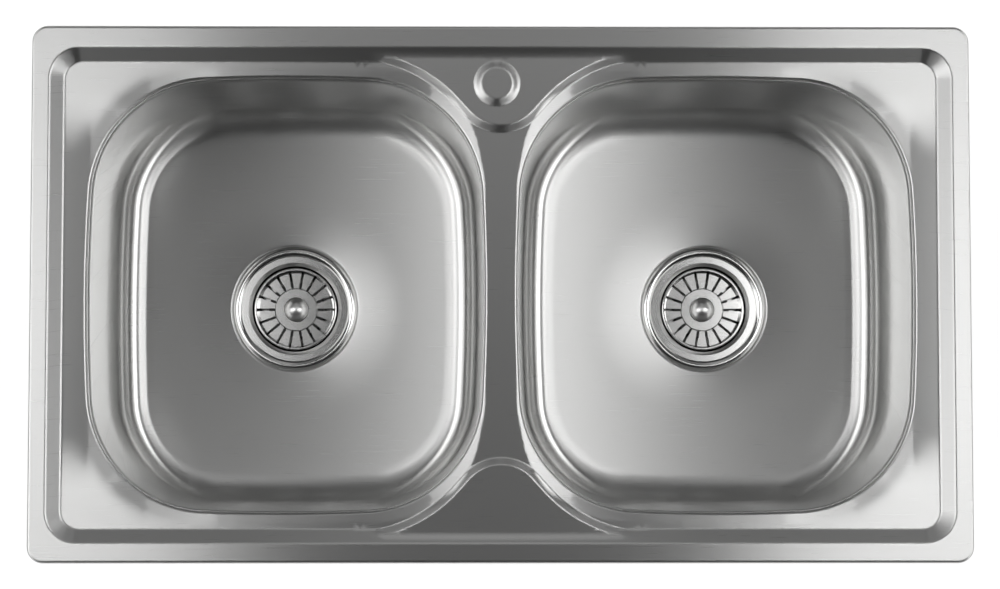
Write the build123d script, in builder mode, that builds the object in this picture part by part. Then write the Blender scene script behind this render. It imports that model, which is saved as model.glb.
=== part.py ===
"""Double bowl kitchen sink, drop-in, pressed stainless steel, with basket strainers.

Millimetres. +X is to the right, +Y to the back (the tap side), +Z up. The origin is the middle
of the sink on the top of the worktop that it is let into.
"""

import math
import os

from build123d import *

# Sheet, rim and deck
sheet = 1.0  # thickness of the pressed stainless sheet
sink_length = 800.0
sink_width = 457.0
sink_corner = 14.0
rim_height = 7.5  # top of the rim above the worktop
rim_edge_radius = 3.0  # rolled outer edge
skirt_gap = 0.6  # between the rim's turned-down edge and the worktop
rim_side = 15.5  # flat of the rim at the two ends
rim_front_back = 17.8  # flat of the rim, front and back
pressing_shift = -0.8  # the sunk field and the bowls sit this far to the front
field_depth = 6.0  # field below the top of the rim
slope_run = 12.0  # width in plan of the slope from rim to field
pocket_corner = 27.0  # corner radius at the top of the slope
crease_radius = 1.8  # pressed bends at the top and the foot of the slope

# Tap deck at the back and the matching land at the front
land_rise = 3.0  # above the field
land_crease = 1.5  # pressed bend round the top of a land
land_half_width = 75.3  # half width of the triangle where its sides meet the slope's foot
land_point = 80.7  # depth of the triangle's unrounded point from the slope's foot
land_shoulder_radius = 114.0
land_tip_radius = 42.0
land_end = 150.0  # the triangle's base runs this far under the rim
land_blend = 2.0  # the shoulders reach past the slope's foot by this
boss_x = -3.6  # raised boss where the tap's hole is punched
boss_y = 179.3
boss_radius = 19.4
boss_top_radius = 13.7
boss_height = 2.2
boss_crease = 0.8

# Bowls
bowl_end_gap = 19.8  # field left between the slope's foot and a bowl at the sink's ends
bowl_side_gap = 13.2  # and at its front and back
bowl_bow_radius = 1600.0  # the four sides bulge slightly
bowl_corner = 102.0
bridge = 27.4  # deck left between the bowls
lip_radius = 2.2
lip_depth = 5.0  # turned-down lip of the deck below the field
bowl_depth = 178.0  # top of the rim to the middle of the floor
wall_draft = 2.5  # degrees
floor_fillet = 28.0
dish_inset = 41.5  # flat-looking part of the floor ends this far in from the bowl's mouth
dish_depth = 4.0  # and has risen this far there from the floor's middle
drain_out = 4.0  # strainer from the bowl's middle towards the sink's end
drain_forward = 3.0  # and towards the front
recess_clearance = 2.5  # sunk seat around the strainer's flange
recess_depth = 3.0
recess_run = 3.5  # width in plan of the sunk seat's wall
recess_fillet = 1.5
drain_hole_radius = 45.0

# Basket strainers, levels measured down from the sunk seat
flange_radius = 57.0
flange_sheet = 1.4
flange_hump = 1.5  # rounded outer ring above the flange's ledge
flange_ring = 9.0  # width of that ring
seal_thickness = 1.5
seal_width = 10.0
seal_clearance = 1.0  # seal's hole around the bowl's hole
mouth_radius = 42.5
mouth_depth = 3.4  # the cup's mouth narrows from mouth_radius over this depth below the ledge
cup_radius = 39.4  # inside of the strainer's cup
cup_foot_radius = 33.0
cup_depth = 30.0
cup_floor = 4.0
thread_radius = 44.0  # threaded outside of the cup
outlet_radius = 19.0
spigot_radius = 26.5  # threaded outlet under the cup
spigot_length = 14.0
cross_width = 3.0  # cross in the outlet that the basket's post drops through
cross_height = 3.0
cross_hub_radius = 6.0
cross_root = 1.0  # the cross's arms run this far into the outlet's wall
thread_clearance = 0.1
under_seal_thickness = 3.0
friction_thickness = 1.0
washer_radius = 57.0
lock_nut_height = 11.0
lock_nut_radius = 54.0
lug_count = 8
lug_width = 9.0
lug_radius = 59.0  # from the nut's axis to the tips of its lugs
tail_radius = 19.05  # waste pipe, one and a half inches across
tail_wall = 1.2
tail_length = 100.0
tail_flange_radius = 24.0
tail_flange_thickness = 2.5
tail_neck_radius = 19.6  # pipe swaged out under its flange
tail_neck_length = 8.0
tail_washer_thickness = 3.0
coupling_flat = 29.5  # middle of the coupling nut to its flats
coupling_height = 17.0
coupling_lip = 3.5
running_gap = 0.35  # between pieces that move on each other

# Basket
basket_radius = 38.0
basket_bead = 1.3  # radius of the rolled rim
basket_foot_radius = 34.8
basket_depth = 11.0
basket_wall = 1.0
basket_drop = 1.2  # basket's rim below the sunk seat
slot_count = 18
slot_width = 2.5
slot_inner = 19.9
slot_outer = 34.3
centre_rise = 1.5  # raised middle of the basket's floor
centre_radius = 19.0
knob_radius = 11.2
knob_edge = 1.2  # thickness of the knob's edge
knob_dome = 5.3  # height of its domed top above that edge
knob_neck_radius = 5.5
knob_neck = 2.5
post_radius = 3.0
post_length = 27.0
stopper_radius = 25.0
stopper_thickness = 5.0

# Fixing clips
rail_width = 10.4
rail_height = 10.0
rail_sheet = 1.2
rail_lip = 2.0
rail_inset = 0.2  # rail's outer side in from the slope's foot
long_rail_inset = 70.0  # ends of the front and back rails in from the sink's ends
short_rail_inset = 103.5  # ends of the side rails in from the sink's front and back
clip_inset = 100.0  # front and back clips in from the sink's ends
bolt_radius = 2.5
bolt_length = 56.0
bolt_head = 7.6
bolt_head_thickness = 3.0
worktop = 30.0  # worktop that the clips are set for
claw_sheet = 2.5
claw_width = 14.0
claw_heel_width = 10.0
claw_heel = 7.4  # bolt to the back of the heel
claw_heel_height = 16.0
claw_reach = 26.0  # bolt to the toe
claw_toe_height = 7.5
nut_hub_radius = 5.2
nut_height = 6.5
nut_wing_drop = 1.0  # top of the wings below the nut's face
nut_wing_reach = 11.5
nut_wing_thickness = 2.0

# Rim seal and damping pads
rim_seal_inset = 3.2  # in from the sink's edge
rim_seal_width = 9.0
pad_hole_radius = 72.0
pad_inset = 10.0  # pad's edge in from the edge of the dished floor
pad_thickness = 3.0

os.makedirs("parts", exist_ok=True)

# Levels and places that follow from the sizes above
field_level = rim_height - field_depth
land_level = field_level + land_rise
seam_level = field_level - lip_depth
floor_level = rim_height - bowl_depth
seat_level = floor_level - recess_depth
slope_taper = math.degrees(math.atan2(slope_run, field_depth))
boss_taper = math.degrees(math.atan2(boss_radius - boss_top_radius, boss_height))
foot_half_x = sink_length / 2 - rim_side - slope_run
foot_half_y = sink_width / 2 - rim_front_back - slope_run
bowl_half_x = (foot_half_x - bowl_end_gap - bridge / 2) / 2
bowl_half_y = foot_half_y - bowl_side_gap
dish_radius = min(bowl_half_x, bowl_half_y) - dish_inset
pad_radius = dish_radius - pad_inset
bowl_x = bridge / 2 + bowl_half_x
drain_x = bowl_x + drain_out
drain_y = pressing_shift - drain_forward
sides = {"left": -1, "right": 1}


def save(piece, name):
    """Label a finished piece and write its STEP file."""
    piece.label = name
    export_step(piece, "parts/" + name + ".step")


def upright(x, y, level):
    """Upright sketch plane through a vertical axis: its first axis is +X, its second +Z."""
    return Plane((x, y, level), x_dir=(1, 0, 0), z_dir=(0, -1, 0))


def bowl_outline(grow):
    """Bowl outline: four bowed sides joined by corner arcs, grown outwards by grow."""
    reach = bowl_bow_radius - bowl_corner
    side_centre = Vector(bowl_half_x - bowl_bow_radius, 0)
    end_centre = Vector(0, bowl_half_y - bowl_bow_radius)
    between = end_centre - side_centre
    across = Vector(-between.Y, between.X).normalized()
    corner_centre = (side_centre + end_centre) / 2
    corner_centre += across * math.sqrt(reach**2 - (between.length / 2) ** 2)
    side_way = (corner_centre - side_centre).normalized()
    end_way = (corner_centre - end_centre).normalized()
    side_end = corner_centre + side_way * (bowl_corner + grow)
    corner_middle = corner_centre + (side_way + end_way).normalized() * (bowl_corner + grow)
    end_end = corner_centre + end_way * (bowl_corner + grow)
    half_x = bowl_half_x + grow
    half_y = bowl_half_y + grow
    with BuildSketch() as outline:
        with BuildLine():
            for way in (-1, 1):
                side_from = (way * side_end.X, -side_end.Y)
                side_to = (way * side_end.X, side_end.Y)
                ThreePointArc(side_from, (way * half_x, 0), side_to)
                end_from = (-end_end.X, way * end_end.Y)
                end_to = (end_end.X, way * end_end.Y)
                ThreePointArc(end_from, (0, way * half_y), end_to)
                for turn in (-1, 1):
                    corner_from = (way * side_end.X, turn * side_end.Y)
                    corner_to = (way * end_end.X, turn * end_end.Y)
                    corner_past = (way * corner_middle.X, turn * corner_middle.Y)
                    ThreePointArc(corner_from, corner_past, corner_to)
        make_face()
    return outline.sketch


def from_middle(vertex):
    """How far a corner is from the plane that mirrors left and right."""
    return abs(vertex.X)


def land_form():
    """Raised triangle that points in from the rim, drawn from the middle of the slope's foot."""
    under_rim = 2 * slope_run
    with BuildPart() as land:
        with BuildSketch() as outline:
            with BuildLine():
                Polyline(
                    (-land_end, under_rim),
                    (-land_end, land_blend),
                    (-land_half_width, land_blend),
                    (0, -land_point),
                    (land_half_width, land_blend),
                    (land_end, land_blend),
                    (land_end, under_rim),
                    close=True,
                )
            make_face()
            fillet(outline.vertices().sort_by(from_middle)[0], land_tip_radius)
            fillet(outline.vertices().sort_by(from_middle)[2:4], land_shoulder_radius)
        extrude(amount=land_rise, taper=slope_taper)
        fillet(land.edges().group_by(Axis.Z)[-1], land_crease)
    return land.part


def pressed_form(drop, inset, bottom, lip, roll, crease):
    """Solid whose outside is one face of the pressed sheet: drop lower and inset further in."""
    with BuildPart() as form:
        with BuildSketch(Plane.XY.offset(bottom)):
            RectangleRounded(sink_length - 2 * inset, sink_width - 2 * inset, sink_corner - inset)
        extrude(amount=rim_height - drop - bottom)
        fillet(form.edges().group_by(Axis.Z)[-1], roll)
        with BuildSketch(Plane.XY.offset(field_level - drop)):
            with Locations((0, pressing_shift)):
                RectangleRounded(2 * foot_half_x, 2 * foot_half_y, pocket_corner - slope_run)
        extrude(amount=field_depth, taper=-slope_taper, mode=Mode.SUBTRACT)
        slope = form.edges(Select.LAST).group_by(Axis.Z)
        fillet(slope[0] + slope[-1], crease)
        for turn, way in ((0, 1), (180, -1)):
            foot = (0, pressing_shift + way * foot_half_y, field_level - drop)
            with Locations(Location(foot, (0, 0, turn))):
                add(land_form())
        with BuildSketch(Plane.XY.offset(land_level - drop)):
            with Locations((boss_x, boss_y)):
                Circle(boss_radius)
        extrude(amount=boss_height, taper=boss_taper)
        fillet(form.edges(Select.LAST).group_by(Axis.Z)[-1], boss_crease)
        for side in sides.values():
            with BuildSketch(Plane.XY.offset(bottom)):
                with Locations((side * bowl_x, pressing_shift)):
                    add(bowl_outline(inset))
            extrude(amount=field_level - drop - bottom, mode=Mode.SUBTRACT)
            fillet(form.edges(Select.LAST).group_by(Axis.Z)[-1], lip)
    return form.part


def cap_fall(radius, cap_radius, cap_height):
    """How far a spherical cap has fallen from its crown at a plan radius."""
    sphere = (cap_radius**2 + cap_height**2) / (2 * cap_height)
    return sphere - math.sqrt(sphere**2 - radius**2)


def dish_point(radius, middle):
    """Point of the dished floor at a plan radius, for a floor whose middle is at level middle."""
    return (radius, middle + cap_fall(radius, dish_radius, dish_depth))


def bowl_form(side, grow):
    """The bowl as a filled solid, grown outwards and downwards by grow."""
    middle = floor_level - grow
    seat = seat_level - grow
    seat_radius = flange_radius + recess_clearance + grow
    recess_edge = dish_point(seat_radius + recess_run, middle)
    reach = bowl_half_x + bowl_half_y  # past the walls all round
    dish_end = dish_point(reach, middle)
    drain_axis = Axis((side * drain_x, drain_y, 0), (0, 0, 1))
    with BuildPart() as form:
        with BuildSketch(Plane.XY.offset(seam_level)):
            with Locations((side * bowl_x, pressing_shift)):
                add(bowl_outline(grow))
        extrude(amount=seat - seam_level, taper=wall_draft)
        # The whole floor is one shallow dish about the drain, and the walls run into it
        with BuildSketch(upright(side * drain_x, drain_y, 0)):
            with BuildLine():
                ThreePointArc((0, middle), dish_point(reach / 2, middle), dish_end)
                Polyline(dish_end, (reach, seat - sheet), (0, seat - sheet), (0, middle))
            make_face()
        revolve(axis=drain_axis, mode=Mode.SUBTRACT)
        fillet(form.faces().sort_by(Axis.Z)[0].edges(), floor_fillet + grow)
        with BuildSketch(upright(side * drain_x, drain_y, 0)):
            with BuildLine():
                Polyline(
                    (0, recess_edge[1]),
                    (0, seat),
                    (seat_radius, seat),
                    recess_edge,
                    close=True,
                )
            make_face()
        revolve(axis=drain_axis)
        fillet(form.edges(Select.LAST).filter_by(GeomType.CIRCLE), recess_fillet)
    return form.part


def ring(centre, inner, outer, low, high):
    """Flat washer about a vertical axis."""
    with BuildPart() as washer:
        with BuildSketch(Plane((*centre, low))):
            Circle(outer)
            Circle(inner, mode=Mode.SUBTRACT)
        extrude(amount=high - low)
    return washer.part


# Deck: one pressing with the rim, the sunk field, two lands, the tap boss and both lips
pressed_top = pressed_form(0, 0, seam_level, lip_radius, rim_edge_radius, crease_radius)
pressed_under = pressed_form(
    sheet, sheet, seam_level - sheet, lip_radius - sheet, rim_edge_radius - sheet, crease_radius
)
with BuildPart() as deck_panel:
    add(pressed_top)
    add(pressed_under, mode=Mode.SUBTRACT)
    with BuildSketch(Plane.XY.offset(skirt_gap)):
        Rectangle(sink_length + sheet, sink_width + sheet)
        Rectangle(2 * foot_half_x + slope_run, 2 * foot_half_y + slope_run, mode=Mode.SUBTRACT)
    extrude(amount=seam_level - skirt_gap - sheet, mode=Mode.SUBTRACT)
save(deck_panel.part, "deck_panel")

# Foam seal under the rim
with BuildPart() as rim_seal:
    with BuildSketch():
        for inset, mode in ((rim_seal_inset, Mode.ADD), (rim_seal_inset + rim_seal_width, Mode.SUBTRACT)):
            RectangleRounded(
                sink_length - 2 * inset,
                sink_width - 2 * inset,
                max(sink_corner - inset, sheet),
                mode=mode,
            )
    extrude(amount=rim_height - sheet)
save(rim_seal.part, "rim_seal")

# Bowls, each welded face to face under a lip of the deck, with a damping pad under the floor
for name, side in sides.items():
    with BuildPart() as bowl:
        add(bowl_form(side, sheet))
        add(bowl_form(side, 0), mode=Mode.SUBTRACT)
        with Locations((side * drain_x, drain_y, seat_level)):
            Cylinder(drain_hole_radius, 4 * sheet, mode=Mode.SUBTRACT)
    save(bowl.part, name + "_bowl")

    under = floor_level - sheet
    pad_middle = (pad_hole_radius + pad_radius) / 2
    pad_in = dish_point(pad_hole_radius, under)
    pad_out = dish_point(pad_radius, under)
    low_in = dish_point(pad_hole_radius, under - pad_thickness)
    low_out = dish_point(pad_radius, under - pad_thickness)
    with BuildPart() as damping_pad:
        with BuildSketch(upright(side * drain_x, drain_y, 0)):
            with BuildLine():
                ThreePointArc(pad_in, dish_point(pad_middle, under), pad_out)
                Line(pad_out, low_out)
                ThreePointArc(low_out, dish_point(pad_middle, under - pad_thickness), low_in)
                Line(low_in, pad_in)
            make_face()
        revolve(axis=Axis((side * drain_x, drain_y, 0), (0, 0, 1)))
    save(damping_pad.part, name + "_damping_pad")

# Basket strainers, from the flange down to the waste pipe
for name, side in sides.items():
    drain = (side * drain_x, drain_y)
    drain_axis = Axis((*drain, 0), (0, 0, 1))
    drain_plane = upright(*drain, seat_level)

    seal_hole = drain_hole_radius + seal_clearance
    seal_top = seat_level + seal_thickness
    save(ring(drain, seal_hole, seal_hole + seal_width, seat_level, seal_top), name + "_flange_seal")

    ledge = seal_thickness + flange_sheet
    cup_base = -cup_depth - cup_floor
    spigot_base = cup_base - spigot_length
    with BuildPart() as strainer_body:
        with BuildSketch(drain_plane) as cup_profile:
            with BuildLine():
                hump_out = (flange_radius, seal_thickness + flange_sheet / 2)
                hump_top = (flange_radius - flange_ring / 2, ledge + flange_hump)
                hump_in = (flange_radius - flange_ring, ledge)
                Polyline((outlet_radius, -cup_depth), (outlet_radius, spigot_base),
                         (spigot_radius, spigot_base), (spigot_radius, cup_base),
                         (thread_radius, cup_base), (thread_radius, seal_thickness),
                         (flange_radius, seal_thickness), hump_out)
                ThreePointArc(hump_out, hump_top, hump_in)
                Polyline(hump_in, (mouth_radius, ledge), (cup_radius, ledge - mouth_depth),
                         (cup_radius, -basket_drop - basket_depth - stopper_thickness),
                         (cup_foot_radius, -cup_depth), (outlet_radius, -cup_depth))
            make_face()
        revolve(axis=drain_axis)
        with BuildSketch(Plane((*drain, seat_level + cup_base))) as cross:
            for turn in (0, 90):
                Rectangle(2 * (outlet_radius + cross_root), cross_width, rotation=turn)
            Circle(cross_hub_radius)
            Circle(post_radius + running_gap, mode=Mode.SUBTRACT)
        extrude(amount=cross_height)
    save(strainer_body.part, name + "_strainer_body")

    under_seat = seat_level - sheet
    bore = thread_radius + thread_clearance
    seal_low = under_seat - under_seal_thickness
    friction_low = seal_low - friction_thickness
    save(ring(drain, bore, washer_radius, seal_low, under_seat), name + "_under_seal")
    save(ring(drain, bore, washer_radius, friction_low, seal_low), name + "_friction_washer")

    with BuildPart() as lock_nut:
        with BuildSketch(Plane((*drain, friction_low))):
            Circle(lock_nut_radius)
            with PolarLocations(lug_radius / 2, lug_count):
                Rectangle(lug_radius, lug_width)
            Circle(bore, mode=Mode.SUBTRACT)
        extrude(amount=-lock_nut_height)
    save(lock_nut.part, name + "_lock_nut")

    washer_top = seat_level + spigot_base
    washer_low = washer_top - tail_washer_thickness
    flange_low = washer_low - tail_flange_thickness
    tail_bore = tail_radius - tail_wall
    save(ring(drain, tail_bore, tail_flange_radius, washer_low, washer_top), name + "_tail_washer")

    with BuildPart() as tailpiece:
        with BuildSketch(Plane((*drain, washer_low))):
            Circle(tail_flange_radius)
        extrude(amount=-tail_flange_thickness)
        with BuildSketch(Plane((*drain, flange_low))):
            Circle(tail_neck_radius)
        extrude(amount=-tail_neck_length)
        with BuildSketch(Plane((*drain, washer_low))):
            Circle(tail_radius)
        extrude(amount=-tail_length)
        with BuildSketch(Plane((*drain, washer_low))):
            Circle(tail_bore)
        extrude(amount=-tail_length, mode=Mode.SUBTRACT)
    save(tailpiece.part, name + "_tailpiece")

    with BuildPart() as coupling_nut:
        with BuildSketch(Plane((*drain, flange_low - coupling_lip))):
            RegularPolygon(coupling_flat, 6, major_radius=False)
        extrude(amount=coupling_height)
        with BuildSketch(Plane((*drain, flange_low))):
            Circle(spigot_radius + thread_clearance)
        extrude(amount=coupling_height, mode=Mode.SUBTRACT)
        with BuildSketch(Plane((*drain, flange_low - coupling_lip))):
            Circle(tail_neck_radius + running_gap)
        extrude(amount=coupling_lip, mode=Mode.SUBTRACT)
    save(coupling_nut.part, name + "_coupling_nut")

    # Basket: slotted cup that turns on a post, with a knob above and a rubber stopper below
    basket_top = -basket_drop
    basket_floor = basket_top - basket_depth
    centre_level = basket_floor + centre_rise
    with BuildPart() as basket_cup:
        with BuildSketch(drain_plane):
            with BuildLine():
                Polyline(
                    (basket_radius - basket_bead, basket_top),
                    (basket_radius - basket_bead - basket_wall, basket_top),
                    (basket_foot_radius - basket_wall, basket_floor),
                    (centre_radius + 1, basket_floor),
                    (centre_radius, centre_level),
                    (post_radius + running_gap, centre_level),
                    (post_radius + running_gap, centre_level - basket_wall),
                    (centre_radius - 1, centre_level - basket_wall),
                    (centre_radius, basket_floor - basket_wall),
                    (basket_foot_radius, basket_floor - basket_wall),
                    close=True,
                )
            make_face()
            with Locations((basket_radius - basket_bead, basket_top - basket_bead)):
                Circle(basket_bead)
        revolve(axis=drain_axis)
        with BuildSketch(Plane((*drain, seat_level + basket_floor - 2 * basket_wall))):
            with PolarLocations((slot_inner + slot_outer) / 2, slot_count):
                SlotOverall(slot_outer - slot_inner, slot_width)
        extrude(amount=3 * basket_wall, mode=Mode.SUBTRACT)
    save(basket_cup.part, name + "_basket_cup")

    knob_low = centre_level + running_gap
    knob_rim = knob_low + knob_neck
    knob_top = knob_rim + knob_edge + knob_dome
    with BuildPart() as knob:
        with BuildSketch(drain_plane):
            with BuildLine():
                dome_side = (knob_radius / 2, knob_top - cap_fall(knob_radius / 2, knob_radius, knob_dome))
                Polyline((0, knob_top), (0, knob_low), (knob_neck_radius, knob_low),
                         (knob_neck_radius, knob_rim), (knob_radius, knob_rim),
                         (knob_radius, knob_top - knob_dome))
                ThreePointArc((knob_radius, knob_top - knob_dome), dome_side, (0, knob_top))
            make_face()
        revolve(axis=drain_axis)
    save(knob.part, name + "_basket_knob")

    with BuildPart() as post:
        with BuildSketch(Plane((*drain, seat_level + knob_low))):
            Circle(post_radius)
        extrude(amount=-post_length)
    save(post.part, name + "_basket_post")

    stopper_top = basket_floor - basket_wall - running_gap
    with BuildPart() as stopper:
        with BuildSketch(drain_plane):
            with BuildLine():
                Polyline(
                    (post_radius, stopper_top),
                    (stopper_radius, stopper_top),
                    (stopper_radius, stopper_top - stopper_thickness / 2),
                    (stopper_radius - stopper_thickness / 2, stopper_top - stopper_thickness),
                    (post_radius, stopper_top - stopper_thickness),
                    close=True,
                )
            make_face()
        revolve(axis=drain_axis)
    save(stopper.part, name + "_basket_stopper")

# Clip rails: channels folded from strip, open below, welded under the edge of the field
rail_y = foot_half_y - rail_inset - rail_width / 2
rail_x = foot_half_x - rail_inset - rail_width / 2
rail_top = field_level - sheet
rail_low = rail_top - rail_height
long_rail = sink_length - 2 * long_rail_inset
short_rail = sink_width - 2 * short_rail_inset
clip_x = sink_length / 2 - clip_inset
rails = {
    "back": ((0, pressing_shift + rail_y), 0, long_rail),
    "front": ((0, pressing_shift - rail_y), 180, long_rail),
    "left": ((-rail_x, pressing_shift), 90, short_rail),
    "right": ((rail_x, pressing_shift), -90, short_rail),
}
for name, (middle, turn, length) in rails.items():
    along = Vector(1, 0, 0).rotate(Axis.Z, turn)
    start = Vector(*middle, rail_top) - along * (length / 2)
    with BuildPart() as rail:
        with BuildSketch(Plane(start, x_dir=along.rotate(Axis.Z, 90), z_dir=along)):
            with Locations((0, -rail_height / 2)):
                Rectangle(rail_width, rail_height)
                Rectangle(
                    rail_width - 2 * rail_sheet, rail_height - 2 * rail_sheet, mode=Mode.SUBTRACT
                )
            with Locations((0, -rail_height)):
                Rectangle(rail_width - 2 * rail_lip, 3 * rail_sheet, mode=Mode.SUBTRACT)
        extrude(amount=length)
    save(rail.part, name + "_rail")

# Clips: place of the bolt, and the way that the claw points from it, out under the worktop
clips = {
    "back_left": ((-clip_x, pressing_shift + rail_y), 90),
    "back_right": ((clip_x, pressing_shift + rail_y), 90),
    "front_left": ((-clip_x, pressing_shift - rail_y), -90),
    "front_right": ((clip_x, pressing_shift - rail_y), -90),
    "left": ((-rail_x, pressing_shift), 180),
    "right": ((rail_x, pressing_shift), 0),
}
lip_top = rail_low + rail_sheet
with BuildPart() as clip_bolts:
    for place, turn in clips.values():
        with BuildSketch(Plane((*place, lip_top))):
            Rectangle(bolt_head, bolt_head)
        extrude(amount=bolt_head_thickness)
        with BuildSketch(Plane((*place, lip_top))):
            Circle(bolt_radius)
        extrude(amount=-bolt_length)
save(clip_bolts.part, "clip_bolts")

claw_low = -worktop - claw_toe_height
for name, (place, turn) in clips.items():
    out = Vector(1, 0, 0).rotate(Axis.Z, turn)
    across = out.rotate(Axis.Z, 90)
    side_plane = Plane((*place, claw_low), x_dir=out, z_dir=-across)
    with BuildPart() as claw:
        with BuildSketch(side_plane):
            with BuildLine():
                Polyline(
                    (-claw_heel, claw_heel_height),
                    (-claw_heel, 0),
                    (claw_reach, 0),
                    (claw_reach, claw_toe_height),
                    (claw_reach - claw_sheet, claw_toe_height),
                    (claw_reach - claw_sheet, claw_sheet),
                    (claw_sheet - claw_heel, claw_sheet),
                    (claw_sheet - claw_heel, claw_heel_height),
                    close=True,
                )
            make_face()
        extrude(amount=claw_width / 2, both=True)
        with BuildSketch(Plane((*place, claw_low), x_dir=out, z_dir=(0, 0, 1))):
            with Locations((-claw_heel, claw_width / 2), (-claw_heel, -claw_width / 2)):
                Rectangle(2 * claw_sheet, claw_width - claw_heel_width)
            Circle(bolt_radius + running_gap)
        extrude(amount=claw_heel_height, mode=Mode.SUBTRACT)
    save(claw.part, "clip_claw_" + name)

    nut_top = claw_low - running_gap
    with BuildPart() as wing_nut:
        with BuildSketch(Plane((*place, nut_top), x_dir=out, z_dir=(0, 0, 1))):
            Circle(nut_hub_radius)
        extrude(amount=-nut_height)
        with BuildSketch(Plane((*place, nut_top - nut_wing_drop), x_dir=out, z_dir=(0, 0, 1))):
            Rectangle(nut_wing_thickness, 2 * nut_wing_reach)
        extrude(amount=-nut_height)
        with BuildSketch(Plane((*place, nut_top))):
            Circle(bolt_radius + running_gap)
        extrude(amount=-2 * nut_height, mode=Mode.SUBTRACT)
    save(wing_nut.part, "clip_nut_" + name)
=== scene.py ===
import math

import bpy
import numpy as np
from mathutils import Matrix, Vector
from mathutils.geometry import delaunay_2d_cdt


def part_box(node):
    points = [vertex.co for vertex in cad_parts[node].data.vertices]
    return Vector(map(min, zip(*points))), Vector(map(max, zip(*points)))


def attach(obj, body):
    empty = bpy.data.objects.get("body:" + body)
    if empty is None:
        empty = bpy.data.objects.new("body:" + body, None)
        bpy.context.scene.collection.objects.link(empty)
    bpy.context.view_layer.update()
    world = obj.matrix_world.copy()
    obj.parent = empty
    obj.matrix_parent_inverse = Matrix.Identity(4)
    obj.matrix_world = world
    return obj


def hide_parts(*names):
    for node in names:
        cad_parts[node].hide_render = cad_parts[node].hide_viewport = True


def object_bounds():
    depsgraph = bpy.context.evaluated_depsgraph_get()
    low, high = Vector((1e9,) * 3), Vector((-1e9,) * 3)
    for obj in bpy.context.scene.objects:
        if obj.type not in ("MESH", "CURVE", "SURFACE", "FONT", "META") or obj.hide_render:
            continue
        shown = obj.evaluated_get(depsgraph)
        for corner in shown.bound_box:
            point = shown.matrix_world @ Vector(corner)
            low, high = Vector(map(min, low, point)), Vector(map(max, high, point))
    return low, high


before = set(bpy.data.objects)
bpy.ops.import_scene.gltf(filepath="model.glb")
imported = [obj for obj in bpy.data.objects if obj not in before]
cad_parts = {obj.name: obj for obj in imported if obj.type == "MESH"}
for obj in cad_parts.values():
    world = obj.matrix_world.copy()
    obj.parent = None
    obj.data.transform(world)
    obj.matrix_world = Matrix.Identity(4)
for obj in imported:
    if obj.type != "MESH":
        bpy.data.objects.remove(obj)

cad_low, cad_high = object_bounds()


# Deck panel: one pressing of 1 mm 18/10 stainless sheet, with the rim, the sunk field, the tap
# deck, the front land, the boss and the lips that the bowls are welded to. It is brushed along
# its length, and its edge and lips are rolled down after the pressing.

def colour(code):
    """Linear RGBA of an sRGB hex code."""
    channels = [int(code[i:i + 2], 16) / 255 for i in (0, 2, 4)]
    return [c / 12.92 if c <= 0.04045 else ((c + 0.055) / 1.055) ** 2.4 for c in channels] + [1]


def add_node(tree, kind, inputs=(), **settings):
    """Adds a shader node with its settings, socket values and links."""
    node = tree.nodes.new("ShaderNode" + kind)
    for name, value in settings.items():
        setattr(node, name, value)
    for name, value in dict(inputs).items():
        if isinstance(value, bpy.types.NodeSocket):
            tree.links.new(value, node.inputs[name])
        else:
            node.inputs[name].default_value = value
    return node


def new_material(name):
    """An empty node material and the tree to fill."""
    material = bpy.data.materials.new(name)
    material.use_nodes = True
    material.node_tree.nodes.clear()
    return material, material.node_tree


def brushed_steel(name, code, roughness, anisotropy, scratch_mm, depth_mm):
    """Stainless brushed along X: long fine scratches that vary the gloss and tilt the surface."""
    length_to_width, wall_step, gloss_spread = 160, 0.3, 0.016
    material, tree = new_material(name)
    place = add_node(tree, "SeparateXYZ", {0: add_node(tree, "TexCoord").outputs["Object"]})
    # On walls the scratches step down with the height, on floors they stay straight
    line = add_node(tree, "Math", {
        0: place.outputs["Z"], 1: wall_step, 2: place.outputs["Y"]}, operation="MULTIPLY_ADD")
    grain = add_node(tree, "CombineXYZ", {"X": place.outputs["X"], "Y": line.outputs[0]})
    along, across = 1000 / (length_to_width * scratch_mm), 1000 / scratch_mm
    stretch = add_node(tree, "Mapping", {"Vector": grain.outputs[0], "Scale": (along, across, 1)})
    scratches = add_node(tree, "TexNoise", {"Vector": stretch.outputs[0], "Scale": 1, "Detail": 3})
    gloss = add_node(tree, "MapRange", {
        "Value": scratches.outputs["Fac"],
        "To Min": roughness - gloss_spread, "To Max": roughness + gloss_spread})
    bump = add_node(tree, "Bump", {
        "Height": scratches.outputs["Fac"], "Strength": 1, "Distance": depth_mm * 0.001})
    across_grain = add_node(tree, "CombineXYZ", {"Y": 1})
    shader = add_node(tree, "BsdfPrincipled", {
        "Base Color": colour(code), "Metallic": 1, "Roughness": gloss.outputs[0],
        "Anisotropic": anisotropy, "Tangent": across_grain.outputs[0], "Normal": bump.outputs[0]})
    add_node(tree, "OutputMaterial", {"Surface": shader.outputs[0]})
    return material


def place_piece(name, mesh, body, material):
    """Links a finished mesh as a piece of the sink that rides on a body."""
    piece = bpy.data.objects.new(name, mesh)
    bpy.context.scene.collection.objects.link(piece)
    mesh.materials.append(material)
    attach(piece, body)
    return piece


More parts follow.
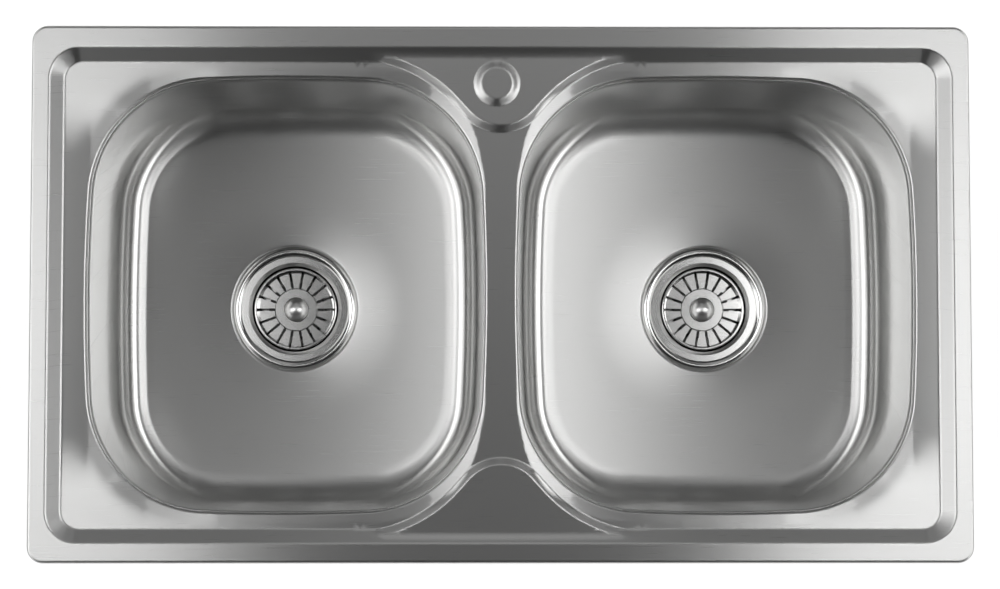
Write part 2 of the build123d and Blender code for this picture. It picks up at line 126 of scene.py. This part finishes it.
# Pressed shape of the sheet, as on the solids, in metres
sheet = 0.001
bow_radius, corner_radius = 1.6, 0.102
rim_level = cad_high.z
field_level = rim_level - 0.006
seam_level = field_level - 0.005
skirt_level = 0.0006
rim_roll, rim_corner = 0.003, 0.014
lip_roll = 0.0022
pressing_middle = Vector((0, -0.0008))
foot_half, foot_corner = Vector((0.3725, 0.1987)), 0.015
slope_run, slope_bend = 0.012, 0.0011
land_rise, land_run, land_bend = 0.003, 0.006, 0.0009
land_half = 0.16
valley = 0.0006
boss_middle, boss_foot = Vector((-0.0036, 0.1793)), 0.0194
boss_rise, boss_run, boss_bend = 0.0022, 0.0057, 0.0008


def rounded_rectangle(half_x, half_y, radius, spacing, corner_spacing):
    """Ring of points round a rectangle with rounded corners, and the ring's outward normals."""
    points, normals = [], []
    corner_steps = max(4, round(radius * math.pi / 2 / corner_spacing))
    for turn in range(4):
        way = Matrix.Rotation(turn * math.pi / 2, 2)
        long, short = (half_x, half_y) if turn % 2 == 0 else (half_y, half_x)
        side = 2 * (short - radius)
        side_steps = max(1, round(side / spacing))
        for step in range(side_steps):
            points.append(way @ Vector((long, -short + radius + side * step / side_steps)))
            normals.append(way @ Vector((1, 0)))
        for step in range(corner_steps):
            angle = math.pi / 2 * step / corner_steps
            normal = Vector((math.cos(angle), math.sin(angle)))
            points.append(way @ (Vector((long - radius, short - radius)) + normal * radius))
            normals.append(way @ normal)
    return points, normals


def bowl_mouth(low, high, spacing):
    """Ring round the inside of a bowl's mouth, from the bowl's box, with its outward normals.

    It has four bowed sides and four corner arcs, each tangent to the next.
    """
    middle = Vector(((low.x + high.x) / 2, (low.y + high.y) / 2))
    half_x, half_y = (high.x - low.x) / 2 - sheet, (high.y - low.y) / 2 - sheet
    side_centre = Vector((half_x - bow_radius, 0))
    end_centre = Vector((0, half_y - bow_radius))
    between = end_centre - side_centre
    across = Vector((-between.y, between.x)).normalized()
    reach = bow_radius - corner_radius
    corner_centre = (side_centre + end_centre) / 2
    corner_centre += across * math.sqrt(reach ** 2 - (between.length / 2) ** 2)
    side_way = corner_centre - side_centre
    end_way = corner_centre - end_centre
    turn_in, turn_out = math.atan2(side_way.y, side_way.x), math.atan2(end_way.y, end_way.x)
    quarter = []
    for centre, radius, start, end in (
        (side_centre, bow_radius, 0, turn_in),
        (corner_centre, corner_radius, turn_in, turn_out),
        (end_centre, bow_radius, turn_out, math.pi / 2),
    ):
        steps = max(3, round(radius * (end - start) / spacing))
        for step in range(steps):
            turn = start + (end - start) * step / steps
            normal = Vector((math.cos(turn), math.sin(turn)))
            quarter.append((centre + normal * radius, normal))
    quarter.append((Vector((0, half_y)), Vector((0, 1))))
    mirrored = [(Vector((-p.x, p.y)), Vector((-n.x, n.y))) for p, n in quarter[-2::-1]]
    half = quarter + mirrored
    ring = half + [(Vector((p.x, -p.y)), Vector((n.x, -n.y))) for p, n in half[-2:0:-1]]
    return [middle + p for p, n in ring], [n for p, n in ring]


def land_foot():
    """Foot of a land from its left end to its right, from the middle of the slope's foot.

    A straight flank leans out from the rounded tip on the bridge to a wide shoulder at each side.
    """
    flank_x, flank_y, base = 0.0753, 0.0827, 0.002
    tip_radius, shoulder_radius = 0.042, 0.114
    tip_steps, shoulder_steps = 18, 36
    lean = math.atan2(flank_y, flank_x)
    tip_middle = Vector((0, base - flank_y + tip_radius / math.cos(lean)))
    tangent = shoulder_radius * math.tan(lean / 2)
    shoulder_middle = Vector((flank_x + tangent, base - shoulder_radius))
    half = []
    for step in range(tip_steps + 1):
        turn = lean * step / tip_steps
        half.append(tip_middle + Vector((math.sin(turn), -math.cos(turn))) * tip_radius)
    for step in range(shoulder_steps + 1):
        turn = lean * (1 - step / shoulder_steps)
        half.append(shoulder_middle + Vector((-math.sin(turn), math.cos(turn))) * shoulder_radius)
    half.append(Vector((land_half, base)))
    return [Vector((-p.x, p.y)) for p in half[:0:-1]] + half


def distance_to_line(points, line):
    """Distance from each point to an open or closed run of segments, and the nearest's side."""
    best = np.full(len(points), np.inf)
    side = np.zeros(len(points))
    tie = 1e-12
    for a, b in zip(line, line[1:]):
        a, b = np.array(a), np.array(b)
        way = b - a
        along = np.clip(((points - a) @ way) / (way @ way), 0, 1)
        gap = points - a - along[:, None] * way
        reach = np.hypot(gap[:, 0], gap[:, 1])
        nearer = reach < best - tie
        best[nearer] = reach[nearer]
        turned = way[0] * gap[:, 1] - way[1] * gap[:, 0]
        side[nearer] = np.sign(turned)[nearer]
    return best, side


def land_distance(points, way):
    """Signed distance of each point into a land, back (1) or front (-1), from its foot."""
    foot = np.array([pressing_middle + way * (Vector((0, foot_half.y)) + p) for p in land_foot()])
    reach, side = distance_to_line(points, foot)
    return np.where(np.abs(points[:, 0]) < land_half, reach * side, -1)


def crease(distance, run, rise, bend):
    """Height over a straight slope that begins at distance 0, with pressed bends at both ends."""
    fall = rise / run
    foot = np.clip((distance + bend) / (2 * bend), 0, None)
    foot = np.where(foot < 1, fall * bend * foot ** 2, fall * distance)
    top = np.clip((run + bend - distance) / (2 * bend), 0, 1)
    return np.where(distance > run - bend, rise - fall * bend * top ** 2, foot)


def bend_down(distance, bend):
    """How far a sheet has run down a unit slope that it bends into over the given length."""
    run = np.clip(distance, 0, None)
    return np.where(run < bend, run ** 2 / (2 * bend), run - bend / 2)


def fade(value, start, stop):
    """Runs evenly from 0 at start to 1 at stop."""
    return np.clip((value - start) / (stop - start), 0, 1)


# Fall of the field to the mouths, a height for each length. It is steepest beside the bridge,
# where its width grows away from the waist, and widest at the outer corners. At the sink's two
# ends it is one even slope from the foot of the rim's slope.
field_fall, bridge_fall = 0.055, 0.11
fall_width, corner_width = 0.010, 0.022
fall_bend, bridge_bend, corner_bend, foot_bend = 0.004, 0.0015, 0.012, 0.001
bridge_places = (0.055, 0.087, 0.115, 0.145, 0.17)
bridge_widths = (0, 0.0015, 0.003, 0.009, 0.012)


def deck_levels(points, mouths):
    """Height of the sheet's top at each plan point of the deck."""
    inside = np.abs(points - np.array(pressing_middle)) - (np.array(foot_half) - foot_corner)
    slope = np.hypot(*np.clip(inside, 0, None).T) + np.minimum(inside.max(axis=1), 0) - foot_corner
    raised = crease(slope, slope_run, rim_level - field_level, slope_bend)
    for way in (1, -1):
        # A land and the rim's slope meet in a small rounded valley
        land = crease(land_distance(points, way), land_run, land_rise, land_bend)
        both = np.minimum(land, raised)
        near = np.clip(1 - np.abs(land - raised) / valley, 0, 1)
        raised = np.maximum(land, raised) + valley / 4 * near ** 2 * np.clip(both / valley, 0, 1)
    boss = boss_foot - np.hypot(*(points - np.array(boss_middle)).T)
    raised = raised + crease(boss, boss_run, boss_rise, boss_bend)

    x, y = np.abs(points[:, 0]), np.abs(points[:, 1] - pressing_middle.y)
    ends = fade(x, 0.31, 0.35) * fade(y, 0.168, 0.118)
    outer = fade(x, 0.24, 0.30)
    bridge = fade(x, 0.12, 0.06)
    beside_bridge = lip_roll + np.interp(y, bridge_places, bridge_widths)
    elsewhere = fall_width + (corner_width - fall_width) * outer
    width = bridge * beside_bridge + (1 - bridge) * elsewhere
    bend = fall_bend + (bridge_bend - fall_bend) * bridge + (corner_bend - fall_bend) * outer
    reach = np.min([distance_to_line(points, mouth + mouth[:1])[0] for mouth in mouths], axis=0)
    steepness = field_fall + (bridge_fall - field_fall) * bridge
    near_mouth = steepness * bend_down(width - reach, bend)
    from_foot = field_fall * bend_down(-slope, foot_bend)
    fall = np.minimum(near_mouth, 2 * from_foot) * (1 - ends) + from_foot * ends
    return field_level + raised - fall


# Distances of the mesh's rings from the foot of each crease, and from the mouths. They lie close
# together where the sheet bends. The flats' other points keep clear of them, because a point near
# a ring would make long triangles across the bend.
slope_rings = (-0.0022, -0.0011, -0.0004, 0.0004, 0.0011, 0.0022, 0.006, 0.0098, 0.0109, 0.0116,
               0.0124, 0.0131, 0.0142, 0.018, 0.022)
land_rings = (-0.0018, -0.0009, -0.0003, 0.0003, 0.0009, 0.003, 0.0051, 0.0057, 0.0063, 0.0069,
              0.0078)
boss_rings = (-0.0014, -0.0008, -0.0003, 0.0003, 0.0008, 0.0028, 0.0049, 0.0054, 0.006, 0.0065,
              0.0075)
mouth_rings = (0.003, 0.0042, 0.0055, 0.007, 0.0085, 0.0102, 0.0125, 0.0155, 0.0185)
ring_gap, slope_gap = 0.0008, 0.0055
side_spacing, arc_spacing, land_spacing, grid_spacing = 0.007, 0.0012, 0.0015, 0.007


def crease_net():
    """Points in rings along the slope, the lands and the boss, which hold each bend's shape."""
    ring, out = rounded_rectangle(*foot_half, foot_corner, side_spacing, arc_spacing)
    net = [pressing_middle + p + n * reach for reach in slope_rings for p, n in zip(ring, out)]
    foot = land_foot()
    past_slope = 0.0001
    for way in (1, -1):
        for a, b in zip(foot, foot[1:]):
            steps = max(1, round((b - a).length / land_spacing))
            out = Vector((-(b - a).y, (b - a).x)).normalized()
            for step in range(steps):
                for reach in land_rings:
                    at = a.lerp(b, step / steps) + out * reach
                    if at.y < past_slope:
                        net.append(pressing_middle + way * (Vector((0, foot_half.y)) + at))
    boss_steps = 96
    for reach in boss_rings:
        for step in range(boss_steps):
            turn = math.tau * step / boss_steps
            way = Vector((math.cos(turn), math.sin(turn)))
            net.append(boss_middle + way * (boss_foot - reach))
    return net


def flat_net(mouths):
    """Points of the flats, in rings round the mouths and on a grid, clear of the bends."""
    net = [p + n * reach for mouth, out in mouths for reach in mouth_rings
           for p, n in zip(mouth, out)]
    columns, rows = int(foot_half.x / grid_spacing) - 1, int(foot_half.y / grid_spacing)
    net += [pressing_middle + Vector((i * grid_spacing, j * grid_spacing))
            for i in range(-columns, columns + 1) for j in range(-rows, rows + 1)]
    flats = np.array(net)
    clear = np.abs(flats - np.array(pressing_middle)) < np.array(foot_half) - slope_gap
    clear = clear.all(axis=1)
    for way in (1, -1):
        land = land_distance(flats, way)
        clear &= (land < land_rings[0] - ring_gap) | (land > land_rings[-1] + ring_gap)
    boss = boss_foot - np.hypot(*(flats - np.array(boss_middle)).T)
    clear &= (boss < boss_rings[0] - ring_gap) | (boss > boss_rings[-1] + ring_gap)
    return [p for p, kept in zip(net, clear) if kept]


def spread_out(net, taken, half):
    """Leaves out points outside a rectangle, or that crowd an earlier or a taken point."""
    cell, least_gap = 0.0008, 0.00055
    cells = {}
    for p in taken:
        cells.setdefault((round(p.x / cell), round(p.y / cell)), []).append(p)
    kept = []
    for p in net:
        if abs(p.x) > half.x or abs(p.y) > half.y:
            continue
        i, j = round(p.x / cell), round(p.y / cell)
        near = (q for a in (-1, 0, 1) for b in (-1, 0, 1) for q in cells.get((i + a, j + b), ()))
        if all((p - q).length > least_gap for q in near):
            cells.setdefault((i, j), []).append(p)
            kept.append(p)
    return kept


def in_holes(points, holes):
    """Whether each point lies inside one of the holes, whose rings run anticlockwise."""
    return np.any([distance_to_line(points, ring + ring[:1])[1] > 0 for ring in holes], axis=0)


def deck_mesh(name, bowl_boxes):
    """The deck's sheet: a fine net of its creases and flats, its rolled edge and its lips."""
    edge_half = Vector((cad_high.x, (cad_high.y - cad_low.y) / 2))
    edge_spacing, mouth_spacing = 0.006, 0.0035
    rim, rim_out = rounded_rectangle(
        edge_half.x - rim_roll, edge_half.y - rim_roll, rim_corner - rim_roll, edge_spacing,
        arc_spacing)
    mouths = [bowl_mouth(low, high, mouth_spacing) for low, high in bowl_boxes]
    mouth_loops = [mouth for mouth, out in mouths]
    loops = [rim] + [[p + n * lip_roll for p, n in zip(mouth, out)] for mouth, out in mouths]
    normals = [rim_out] + [[-n for n in out] for mouth, out in mouths]

    points, edges = [], []
    for loop in loops:
        start = len(points)
        points += loop
        edges += [(start + i, start + (i + 1) % len(loop)) for i in range(len(loop))]
    inset = rim_roll + ring_gap
    net = spread_out(crease_net() + flat_net(mouths), points, edge_half - Vector((inset, inset)))
    points += [p for p, gone in zip(net, in_holes(np.array(net), loops[1:])) if not gone]
    inside_outline, tolerance = 1, 1e-7
    found, _, triangles, *_ = delaunay_2d_cdt(points, edges, [], inside_outline, tolerance)
    plan = np.array(found)
    centres = np.array([plan[list(t)].mean(axis=0) for t in triangles])
    faces = [tuple(t) for t, gone in zip(triangles, in_holes(centres, loops[1:])) if not gone]

    # Heights and normals both come from the pressed shape, so the net's own facets never show
    levels = deck_levels(plan, mouth_loops)
    stride = 0.00025
    tilts = [(deck_levels(plan - way, mouth_loops) - deck_levels(plan + way, mouth_loops))
             / (2 * stride) for way in np.eye(2) * stride]
    facing = [Vector((x, y, 1)).normalized() for x, y in zip(*tilts)]
    vertices = [Vector((x, y, z)) for (x, y), z in zip(plan, levels)]

    # The outer edge rolls down into a short skirt, and the lips into the seams with the bowls
    digits, roll_steps, skirt_steps = 7, 8, 2
    place = {(round(x, digits), round(y, digits)): i for i, (x, y) in enumerate(plan)}
    cut_edges = []
    for loop, out in zip(loops, normals):
        outer = loop is rim
        roll, foot = (rim_roll, skirt_level) if outer else (lip_roll, seam_level)
        starts = [place[round(p.x, digits), round(p.y, digits)] for p in loop]
        ring = starts
        for step in range(1, roll_steps + skirt_steps + 1):
            turn = min(step, roll_steps) / roll_steps * math.pi / 2
            new = []
            for start, above, p, n in zip(starts, ring, loop, out):
                at = p + n * roll * math.sin(turn)
                if step <= roll_steps:
                    level = levels[start] - roll * (1 - math.cos(turn))
                else:
                    bottom = vertices[above].z
                    level = bottom + (foot - bottom) * (step - roll_steps) / skirt_steps
                new.append(len(vertices))
                vertices.append(Vector((at.x, at.y, level)))
                tilted = facing[start] * math.cos(turn) + n.to_3d() * math.sin(turn)
                facing.append(tilted.normalized())
            for i in range(len(ring)):
                j = (i + 1) % len(ring)
                quad = (ring[i], ring[j], new[j], new[i])
                faces.append(quad[::-1] if outer else quad)
            ring = new
        cut_edges.append(ring if outer else ring[::-1])

    # The underside lies one sheet's thickness behind the shown face and joins it at the cut edges
    count = len(vertices)
    vertices += [v - n * sheet for v, n in zip(vertices, facing)]
    underside = [tuple(i + count for i in face[::-1]) for face in faces]
    edge_faces = [(a, a + count, b + count, b)
                  for ring in cut_edges for a, b in zip(ring, ring[1:] + ring[:1])]
    corner_normals = [facing[i] for face in faces for i in face]
    corner_normals += [-facing[i] for face in faces for i in face[::-1]]
    corner_normals += [Vector((0, 0, -1))] * (4 * len(edge_faces))
    mesh = bpy.data.meshes.new(name)
    mesh.from_pydata(vertices, [], faces + underside + edge_faces)
    mesh.shade_smooth()
    mesh.normals_split_custom_set(corner_normals)
    return mesh


# Brushed stainless: highlights smear across the grain and keep their edges along it. Real
# scratches are a few hundredths of a millimetre wide, too fine to show, so they are drawn wider.
deck_steel = brushed_steel(
    "brushed_stainless", "DEDEDD", roughness=0.28, anisotropy=0.94, scratch_mm=0.45,
    depth_mm=0.00007)
bowl_boxes = [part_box(side + "_bowl") for side in ("left", "right")]
deck = place_piece("deck_pressing", deck_mesh("deck_pressing", bowl_boxes), "sink", deck_steel)
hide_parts("deck_panel")


# Bowls: deep-drawn from the same sheet and seam-welded under the deck's lips. The four walls bow
# out slightly and lean in towards the floor, one shallow dish that runs down to the sunk seat.

wall_draft = math.radians(2.5)
floor_fillet = 0.028
dish_radius = 2.05
funnel_reach, funnel_rate = 0.1, 0.33
drain_hole = 0.045
seat_edge, seat_drop = 0.0587, 0.003


def bowl_mesh(name, side):
    """The pressed bowl as one skin: walls, wide fillet, dished floor and the strainer's seat."""
    low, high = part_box(side + "_bowl")
    drain_low, drain_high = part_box(side + "_strainer_body")
    drain = Vector(((drain_low.x + drain_high.x) / 2, (drain_low.y + drain_high.y) / 2))
    ring, out = bowl_mouth(low, high, spacing=0.008)
    seat, top = low.z + sheet, high.z
    wall_steps, fillet_steps, floor_steps, touch_passes = 12, 16, 18, 6

    def dish(radius):
        funnel = funnel_rate * max(0, funnel_reach - radius) ** 2
        return seat + seat_drop + dish_radius - math.sqrt(dish_radius ** 2 - radius ** 2) - funnel

    # The seat's rounded rim, its steep step and its flat out to the drain hole: radius and level
    rim = dish(seat_edge)
    seat_profile = (
        (seat_edge, rim), (seat_edge - 0.0003, rim - 0.0001), (seat_edge - 0.0005, rim - 0.0004),
        (seat_edge - 0.0008, seat + 0.001), (seat_edge - 0.0011, seat + 0.0003),
        (seat_edge - 0.0014, seat), (drain_hole, seat),
    )
    columns = []
    for mouth, n in zip(ring, out):
        # The fillet touches both wall and dish, whose tilt depends on where it touches
        inset = floor_fillet
        for _ in range(touch_passes):
            contact = mouth - n * inset
            away = contact - drain
            tilt = math.asin(away.length / dish_radius) * n.dot(away.normalized())
            hub_level = dish(away.length) + floor_fillet * math.cos(tilt)
            wall_foot = hub_level - floor_fillet * math.sin(wall_draft)
            hub = math.tan(wall_draft) * (top - wall_foot) + floor_fillet * math.cos(wall_draft)
            inset = hub - floor_fillet * math.sin(tilt)
        column = []
        for step in range(wall_steps):
            level = top + (wall_foot - top) * step / wall_steps
            column.append((mouth - n * math.tan(wall_draft) * (top - level), level))
        for step in range(fillet_steps + 1):
            turn = wall_draft + (math.pi / 2 - tilt - wall_draft) * step / fillet_steps
            column.append((mouth - n * (hub - floor_fillet * math.cos(turn)),
                           hub_level - floor_fillet * math.sin(turn)))
        edge = mouth - n * inset
        way = (edge - drain).normalized()
        beside_rim = drain + way * (seat_edge + 0.0006)
        for step in range(1, floor_steps + 1):
            at = edge.lerp(beside_rim, step / floor_steps)
            column.append((at, dish((at - drain).length)))
        column += [(drain + way * reach, level) for reach, level in seat_profile]
        columns.append(column)
    rows, count = len(columns[0]), len(columns)
    faces = []
    for i in range(count):
        here, beside = i * rows, (i + 1) % count * rows
        faces += [(here + r, here + r + 1, beside + r + 1, beside + r) for r in range(rows - 1)]
    mesh = bpy.data.meshes.new(name)
    mesh.from_pydata([(*p, level) for column in columns for p, level in column], [], faces)
    mesh.shade_smooth()
    return mesh


def add_sheet(piece, thickness):
    """Gives a one-sided skin the thickness of the pressed sheet, behind its shown face."""
    skin = piece.modifiers.new("sheet", "SOLIDIFY")
    skin.thickness = thickness
    skin.offset = -1


for side in ("left", "right"):
    name = side + "_bowl_pressing"
    bowl = place_piece(name, bowl_mesh(name, side), "sink", deck_steel)
    add_sheet(bowl, sheet)
    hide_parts(side + "_bowl")


# Rim seal: a strip of closed-cell foam that sticks in a loop under the rim and is squashed onto
# the worktop.

def plain_finish(name, code, roughness, metallic=0):
    """A moulded, cast or plated surface with a mottle that breaks its shine.

    The real mottle is a few hundredths of a millimetre across, so it is drawn coarser to show.
    """
    mottle_mm, dent_mm, gloss_spread = 1.667, 0.1, 0.08
    material, tree = new_material(name)
    place = add_node(tree, "TexCoord").outputs["Object"]
    mottle = add_node(tree, "TexNoise", {"Vector": place, "Scale": 1000 / mottle_mm, "Detail": 3})
    gloss = add_node(tree, "MapRange", {
        "Value": mottle.outputs["Fac"],
        "To Min": roughness - gloss_spread, "To Max": roughness + gloss_spread})
    bump = add_node(tree, "Bump", {
        "Height": mottle.outputs["Fac"], "Strength": 0.2, "Distance": dent_mm * 0.001})
    shader = add_node(tree, "BsdfPrincipled", {
        "Base Color": colour(code), "Metallic": metallic, "Roughness": gloss.outputs[0],
        "Normal": bump.outputs[0]})
    add_node(tree, "OutputMaterial", {"Surface": shader.outputs[0]})
    return material


def finish_node(name, material):
    """Gives a CAD node its finish."""
    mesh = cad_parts[name].data
    mesh.materials.clear()
    mesh.materials.append(material)


# Foam: matt and nearly black, with no highlight
foam = plain_finish("closed_cell_foam", "3A3A3A", 0.9)
finish_node("rim_seal", foam)


# Rails and clips: folded channels of plated steel, spot-welded under the deck, with a tee-headed
# bolt, a claw and a wing nut at each of six places, which pull the sink down onto the worktop.

# Zinc plate: pale grey metal with a blurred sheen
plated = plain_finish("zinc_plated_steel", "AEB0B0", 0.35, metallic=1)
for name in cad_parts:
    if name.endswith("_rail") or name.startswith("clip_"):
        finish_node(name, plated)


# Damping pads: rings of bitumen sheet with a tacky back, stuck on the underside of each bowl's
# floor to quieten running water.

# Bitumen: black-grey and dull
bitumen = plain_finish("bitumen_damping_sheet", "2B2B2C", 0.8)
for side in ("left", "right"):
    finish_node(side + "_damping_pad", bitumen)


# Strainer bodies: pressed stainless cups with a wide polished flange on a rubber seal in the
# bowl's seat. Under the floor a rubber seal, a fibre washer and a cast lock nut pull them tight.

def polished_steel(name, code, roughness):
    """Stainless polished bright, with the faint haze of wear in patches."""
    haze_mm, haze_spread = 11.11, 0.1
    material, tree = new_material(name)
    place = add_node(tree, "TexCoord").outputs["Object"]
    haze = add_node(tree, "TexNoise", {"Vector": place, "Scale": 1000 / haze_mm, "Detail": 2})
    gloss = add_node(tree, "MapRange", {
        "Value": haze.outputs["Fac"],
        "To Min": roughness * (1 - haze_spread), "To Max": roughness * (1 + haze_spread)})
    shader = add_node(tree, "BsdfPrincipled", {
        "Base Color": colour(code), "Metallic": 1, "Roughness": gloss.outputs[0]})
    add_node(tree, "OutputMaterial", {"Surface": shader.outputs[0]})
    return material


# Polished stainless: bright rings and dark ones, with slightly soft edges
strainer_steel = polished_steel("polished_stainless", "C8C8C7", 0.16)
# Nitrile rubber: dark, with a faint soft sheen
rubber = plain_finish("nitrile_rubber", "262626", 0.6)
# Pressed fibre: tan and dry, like card
fibre = plain_finish("pressed_fibre", "A08560", 0.85)
# Cast zinc: light grey metal with a broken, satin shine
zinc = plain_finish("cast_zinc", "B0B1B3", 0.4, metallic=1)
for side in ("left", "right"):
    for piece, finish in (
        ("strainer_body", strainer_steel), ("flange_seal", rubber), ("under_seal", rubber),
        ("friction_washer", fibre), ("lock_nut", zinc),
    ):
        finish_node(side + "_" + piece, finish)


# Tails: drawn brass pipes, chromed bright. A cast coupling nut clamps each one's flange and its
# plastic washer to the strainer body.

# Polythene: waxy white
polythene = plain_finish("white_polythene", "E4E4E1", 0.45)
# Chrome plate: bright, with a slightly cloudy reflection
chrome = plain_finish("chromed_brass", "D8D8DA", 0.15, metallic=1)
for side in ("left", "right"):
    for piece, finish in (
        ("tail_washer", polythene), ("tailpiece", chrome), ("coupling_nut", zinc),
    ):
        finish_node(side + "_" + piece, finish)


# Baskets: pressed cups with radial slots, each on a turned post with a domed knob to lift it by
# and a moulded rubber stopper that closes the outlet.

# Satin stainless: broad soft highlights, dulled by handling
knob_steel = polished_steel("satin_stainless", "DADAD9", 0.3)
for side in ("left", "right"):
    for piece, finish in (
        ("basket_cup", strainer_steel), ("basket_post", strainer_steel),
        ("basket_knob", knob_steel), ("basket_stopper", rubber),
    ):
        finish_node(side + "_" + piece, finish)


# Studio: a white floor in a dark grey room, lit from high up by a broad softbox on each side. The
# dark gap between the two is what the level steel mirrors as its grey middle.

def studio_surface(name, material, points, faces):
    """A plain sheet of the studio, which isn't part of the sink."""
    mesh = bpy.data.meshes.new(name)
    mesh.from_pydata(points, [], faces)
    mesh.materials.append(material)
    surface = bpy.data.objects.new(name, mesh)
    bpy.context.scene.collection.objects.link(surface)
    return surface


def camera_or_glossy(tree):
    """A socket that is 1 for the camera's rays and for those that metal mirrors, otherwise 0."""
    rays = add_node(tree, "LightPath")
    return add_node(tree, "Math", {
        0: rays.outputs["Is Camera Ray"], 1: rays.outputs["Is Glossy Ray"]},
        operation="MAXIMUM").outputs[0]


def white_floor(glow):
    """Floor seen as white from above, with the sink's shadow on it, and clear from below."""
    material, tree = new_material("white_studio_floor")
    strength = add_node(tree, "Math", {0: camera_or_glossy(tree), 1: glow}, operation="MULTIPLY")
    lit = add_node(tree, "BsdfDiffuse", {"Color": colour("E8E8E8")})
    light = add_node(tree, "Emission", {
        "Color": colour("FFFFFF"), "Strength": strength.outputs[0]})
    both = add_node(tree, "AddShader", {0: lit.outputs[0], 1: light.outputs[0]})
    open_below = add_node(tree, "MixShader", {
        0: add_node(tree, "NewGeometry").outputs["Backfacing"], 1: both.outputs[0],
        2: add_node(tree, "BsdfTransparent").outputs[0]})
    add_node(tree, "OutputMaterial", {"Surface": open_below.outputs[0]})
    return material


def grey_cloth(glow):
    """Dark cloth of the room's ceiling and walls, as evenly dim as the steel mirrors it."""
    material, tree = new_material("dark_grey_cloth")
    dim = add_node(tree, "Emission", {"Color": colour("FFFFFF"), "Strength": glow})
    add_node(tree, "OutputMaterial", {"Surface": dim.outputs[0]})
    return material


floor_level = cad_low.z - 0.0005
room_half, room_top = 12, 9
corners = [(x * room_half, y * room_half) for x, y in ((-1, -1), (1, -1), (1, 1), (-1, 1))]
floor_corners = [(*p, floor_level) for p in corners]
studio_surface("studio_floor", white_floor(0.65), floor_corners, [(0, 1, 2, 3)])
room = studio_surface(
    "studio_room", grey_cloth(0.022), floor_corners + [(*p, room_top) for p in corners],
    [(7, 6, 5, 4)] + [(i, i + 4, (i + 1) % 4 + 4, (i + 1) % 4) for i in range(4)])
room.visible_camera = False
room.visible_shadow = False


def softbox(name, place, aim, width, height, radiance):
    """Area light of a given radiance, hidden from the camera."""
    lamp = bpy.data.lights.new(name, "AREA")
    lamp.shape = "RECTANGLE"
    lamp.size, lamp.size_y = width, height
    lamp.energy = radiance * math.pi * width * height
    box = bpy.data.objects.new(name, lamp)
    box.location = place
    box.rotation_euler = (Vector(aim) - Vector(place)).to_track_quat("-Z", "Y").to_euler()
    box.visible_camera = False
    bpy.context.scene.collection.objects.link(box)


ceiling = 6
for name, left, right, front, back, radiance in (
    ("left_key", -4.8, -0.9, -0.6, 0.9, 3.4),
    ("right_key", 0.9, 4.8, -0.6, 0.9, 3.9),
    ("left_outer", -7.2, -4.8, -0.6, 0.9, 1.9),
    ("left_front", -7.2, -3.0, -2.2, -0.6, 2.05),
    ("right_front", 3.0, 7.2, -2.2, -0.6, 1.2),
    ("back_glow", -0.72, 0.72, 0.9, 7.0, 0.42),
    ("back_wide", -4.8, 4.8, 2.6, 7.0, 0.18),
):
    middle = ((left + right) / 2, (front + back) / 2)
    softbox(name, (*middle, ceiling), (*middle, 0), right - left, back - front, radiance)
wall_level, wall_length, wall_height = 4.7, 14.4, 2.6
for name, wall_x, radiance in (("left_wall", -7.2, 2.2), ("right_wall", 7.2, 2.6)):
    softbox(name, (wall_x, 0, wall_level), (0, 0, wall_level), wall_length, wall_height, radiance)

world = bpy.data.worlds.new("white_backdrop")
bpy.context.scene.world = world
world.use_nodes = True
backdrop = world.node_tree
backdrop.nodes.clear()
dark = add_node(backdrop, "Background", {"Color": colour("000000")})
white = add_node(backdrop, "Background", {"Color": colour("FFFFFF")})
either = add_node(backdrop, "MixShader", {
    0: camera_or_glossy(backdrop), 1: dark.outputs[0], 2: white.outputs[0]})
add_node(backdrop, "OutputWorld", {"Surface": either.outputs[0]})


# Camera: above the front edge of the sink and a little left of its middle, looking down. Its lens
# comes from the width of a pixel at the rim's level.

camera_place = Vector((-0.020, -0.133, 2.167))
camera_aim = Vector((-0.001, -0.0013, 0.007))
image_width, metres_per_pixel, sensor_width = 1000, 0.0008479, 36
lens = sensor_width * (camera_aim - camera_place).length / (image_width * metres_per_pixel)
camera_data = bpy.data.cameras.new("camera")
camera_data.sensor_width = sensor_width
camera_data.lens = lens
camera = bpy.data.objects.new("camera", camera_data)
backward = (camera_place - camera_aim).normalized()
sideways = Vector((0, 1, 0)).cross(backward).normalized()
camera.matrix_world = Matrix((sideways, backward.cross(sideways), backward)).transposed().to_4x4()
camera.location = camera_place
bpy.context.scene.collection.objects.link(camera)
bpy.context.scene.camera = camera
bpy.context.scene.view_settings.view_transform = "Standard"
